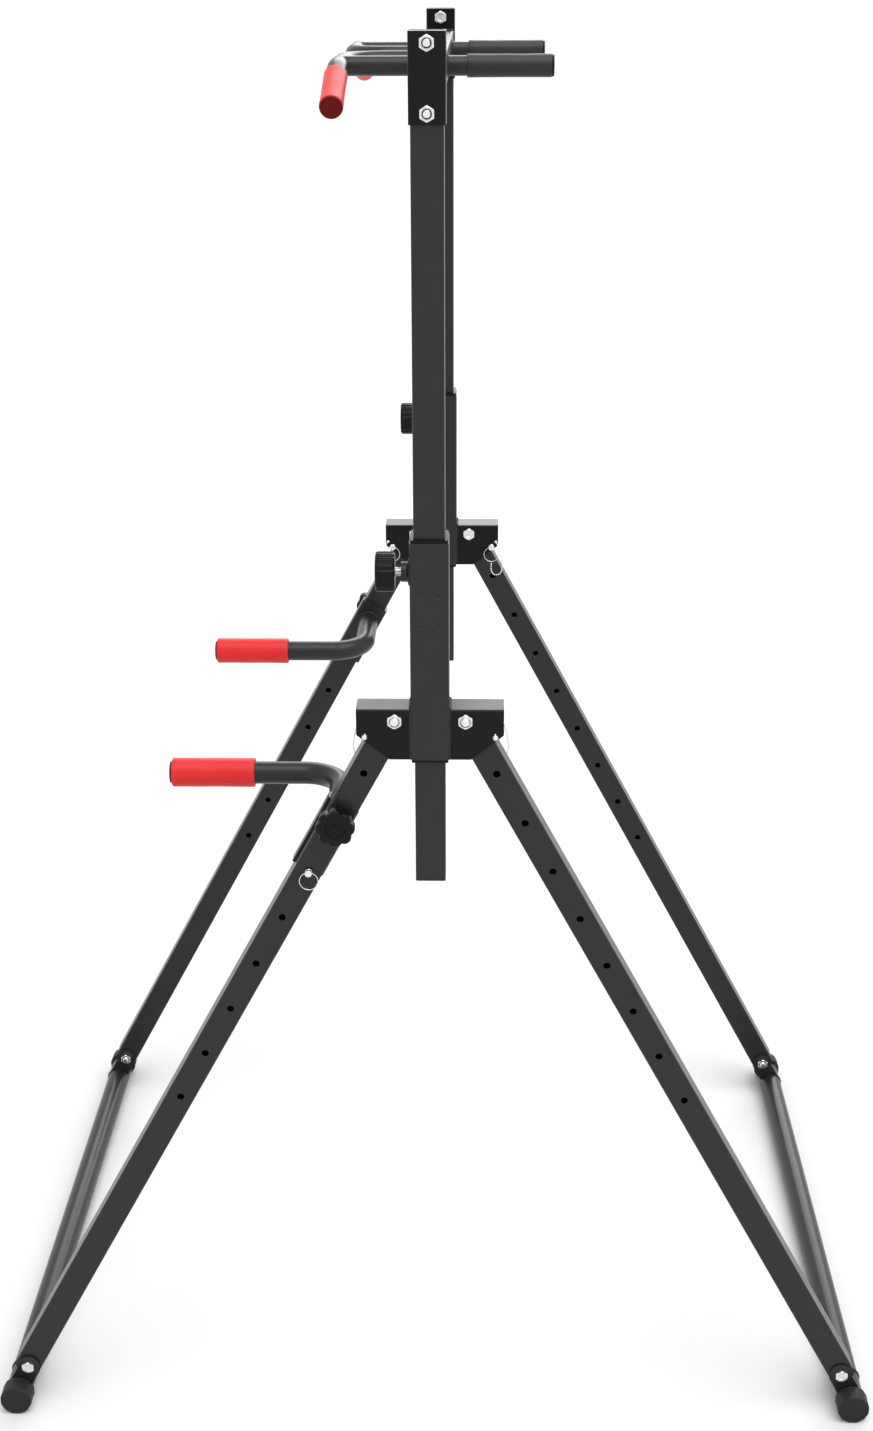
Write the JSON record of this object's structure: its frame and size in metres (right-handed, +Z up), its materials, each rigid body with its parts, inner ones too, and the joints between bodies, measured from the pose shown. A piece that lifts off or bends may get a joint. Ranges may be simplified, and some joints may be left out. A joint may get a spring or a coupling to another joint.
{
  "type": "folding pull-up and dip station",
  "caption": "Free-standing folding pull-up and dip frame with telescoping posts, splayed legs, foam grips and removable dip handles.",
  "frame": {"origin": "on the floor, midway between the four feet and below the middle of the crossbar", "axes": "+Z up along the posts, +X to the right-hand side frame, -Y to the front where the wide grips and dip handles are"},
  "size_m": [0.98, 1.285, 1.945],
  "materials": {
    "black_powder_coat": "satin",
    "zinc_steel": "bright zinc plate",
    "red_foam": "soft closed-cell foam",
    "black_foam": "soft closed-cell foam",
    "knob_plastic": "matt moulded",
    "dark_red_plastic": "satin moulded",
    "black_plastic": "satin moulded",
    "rubber": "matt rubber"
  },
  "bodies": {
    "side_frames": {"sleeve_left": "black_powder_coat", "sleeve_right": "black_powder_coat", "leg_bracket_left": "black_powder_coat", "leg_bracket_right": "black_powder_coat", "sleeve_bushes": "black_plastic", "plunger_bosses": "black_powder_coat", "plunger_springs": "zinc_steel", "pivot_fasteners": "zinc_steel", "chain_rivets": "zinc_steel", "chain_rear_right": "zinc_steel", "chain_rear_left": "zinc_steel", "chain_front_right": "zinc_steel", "chain_front_left": "zinc_steel"},
    "pull_up_frame": {"post_left": "black_powder_coat", "post_right": "black_powder_coat", "post_plugs": "black_plastic", "post_brackets": "black_powder_coat", "crossbar": "black_powder_coat", "crossbar_fasteners": "zinc_steel", "front_grip_tubes": "black_powder_coat", "wide_grip_tubes": "black_powder_coat", "rear_grip_tubes": "black_powder_coat", "rear_grip_foams": "black_foam", "wide_grip_foams": "red_foam", "wide_grip_plugs": "dark_red_plastic", "rear_grip_plugs": "black_plastic"},
    "front_legs": {"leg_front_left": "black_powder_coat", "leg_front_right": "black_powder_coat", "base_tube_front": "black_powder_coat", "foot_lugs_front": "black_powder_coat", "foot_caps_front": "rubber", "foot_fasteners_front": "zinc_steel", "pivot_bushes_front": "zinc_steel"},
    "rear_legs": {"leg_rear_left": "black_powder_coat", "leg_rear_right": "black_powder_coat", "base_tube_rear": "black_powder_coat", "foot_lugs_rear": "black_powder_coat", "foot_caps_rear": "rubber", "foot_fasteners_rear": "zinc_steel", "pivot_bushes_rear": "zinc_steel"},
    "lock_pin_front_right": {"lock_pin_front_right": "zinc_steel"},
    "lock_pin_rear_right": {"lock_pin_rear_right": "zinc_steel"},
    "height_plunger_right": {"height_knob_right": "knob_plastic", "plunger_right": "zinc_steel"},
    "star_knob_right": {"star_knob_right": "knob_plastic"},
    "dip_handle_right": {"dip_saddle_right": "black_powder_coat", "dip_tube_right": "black_powder_coat", "dip_foam_right": "red_foam", "dip_plug_right": "black_plastic"},
    "ring_pin_right": {"ring_pin_right": "zinc_steel"},
    "lock_pin_front_left": {"lock_pin_front_left": "zinc_steel"},
    "lock_pin_rear_left": {"lock_pin_rear_left": "zinc_steel"},
    "height_plunger_left": {"height_knob_left": "knob_plastic", "plunger_left": "zinc_steel"},
    "star_knob_left": {"star_knob_left": "knob_plastic"},
    "dip_handle_left": {"dip_saddle_left": "black_powder_coat", "dip_tube_left": "black_powder_coat", "dip_foam_left": "red_foam", "dip_plug_left": "black_plastic"},
    "ring_pin_left": {"ring_pin_left": "zinc_steel"}
  },
  "joints": [
    {"name": "height_slide", "type": "slide", "parent": "side_frames", "child": "pull_up_frame", "axis": [0, 0, 1], "range_m": [-0.45, 0.15]},
    {"name": "front_fold", "type": "hinge", "parent": "side_frames", "child": "front_legs", "pos_m": [0, -0.046, 1.09979], "axis": [1, 0, 0], "range_deg": [0, 28.3]},
    {"name": "rear_fold", "type": "hinge", "parent": "side_frames", "child": "rear_legs", "pos_m": [0, 0.046, 1.09979], "axis": [-1, 0, 0], "range_deg": [0, 28.3]},
    {"name": "front_right_lock_pull", "type": "slide", "parent": "side_frames", "child": "lock_pin_front_right", "axis": [-1, 0, 0], "range_m": [0, 0.06]},
    {"name": "rear_right_lock_pull", "type": "slide", "parent": "side_frames", "child": "lock_pin_rear_right", "axis": [-1, 0, 0], "range_m": [0, 0.06]},
    {"name": "right_plunger_pull", "type": "slide", "parent": "side_frames", "child": "height_plunger_right", "axis": [0, -1, 0], "range_m": [0, 0.012], "stiffness_N_per_m": 800, "springref_m": -0.01},
    {"name": "right_star_turn", "type": "hinge", "parent": "front_legs", "child": "star_knob_right", "pos_m": [0.44, -0.12517, 0.95275], "axis": [1, 0, 0], "continuous": true},
    {"name": "right_dip_handle_off", "type": "slide", "parent": "front_legs", "child": "dip_handle_right", "axis": [-1, 0, 0], "range_m": [0, 0.06]},
    {"name": "right_ring_pin_pull", "type": "slide", "parent": "front_legs", "child": "ring_pin_right", "axis": [1, 0, 0], "range_m": [0, 0.055]},
    {"name": "front_left_lock_pull", "type": "slide", "parent": "side_frames", "child": "lock_pin_front_left", "axis": [1, 0, 0], "range_m": [0, 0.06]},
    {"name": "rear_left_lock_pull", "type": "slide", "parent": "side_frames", "child": "lock_pin_rear_left", "axis": [1, 0, 0], "range_m": [0, 0.06]},
    {"name": "left_plunger_pull", "type": "slide", "parent": "side_frames", "child": "height_plunger_left", "axis": [0, -1, 0], "range_m": [0, 0.012], "stiffness_N_per_m": 800, "springref_m": -0.01},
    {"name": "left_star_turn", "type": "hinge", "parent": "front_legs", "child": "star_knob_left", "pos_m": [-0.44, -0.12517, 0.95275], "axis": [-1, 0, 0], "continuous": true},
    {"name": "left_dip_handle_off", "type": "slide", "parent": "front_legs", "child": "dip_handle_left", "axis": [1, 0, 0], "range_m": [0, 0.06]},
    {"name": "left_ring_pin_pull", "type": "slide", "parent": "front_legs", "child": "ring_pin_left", "axis": [-1, 0, 0], "range_m": [0, 0.055]}
  ]
}
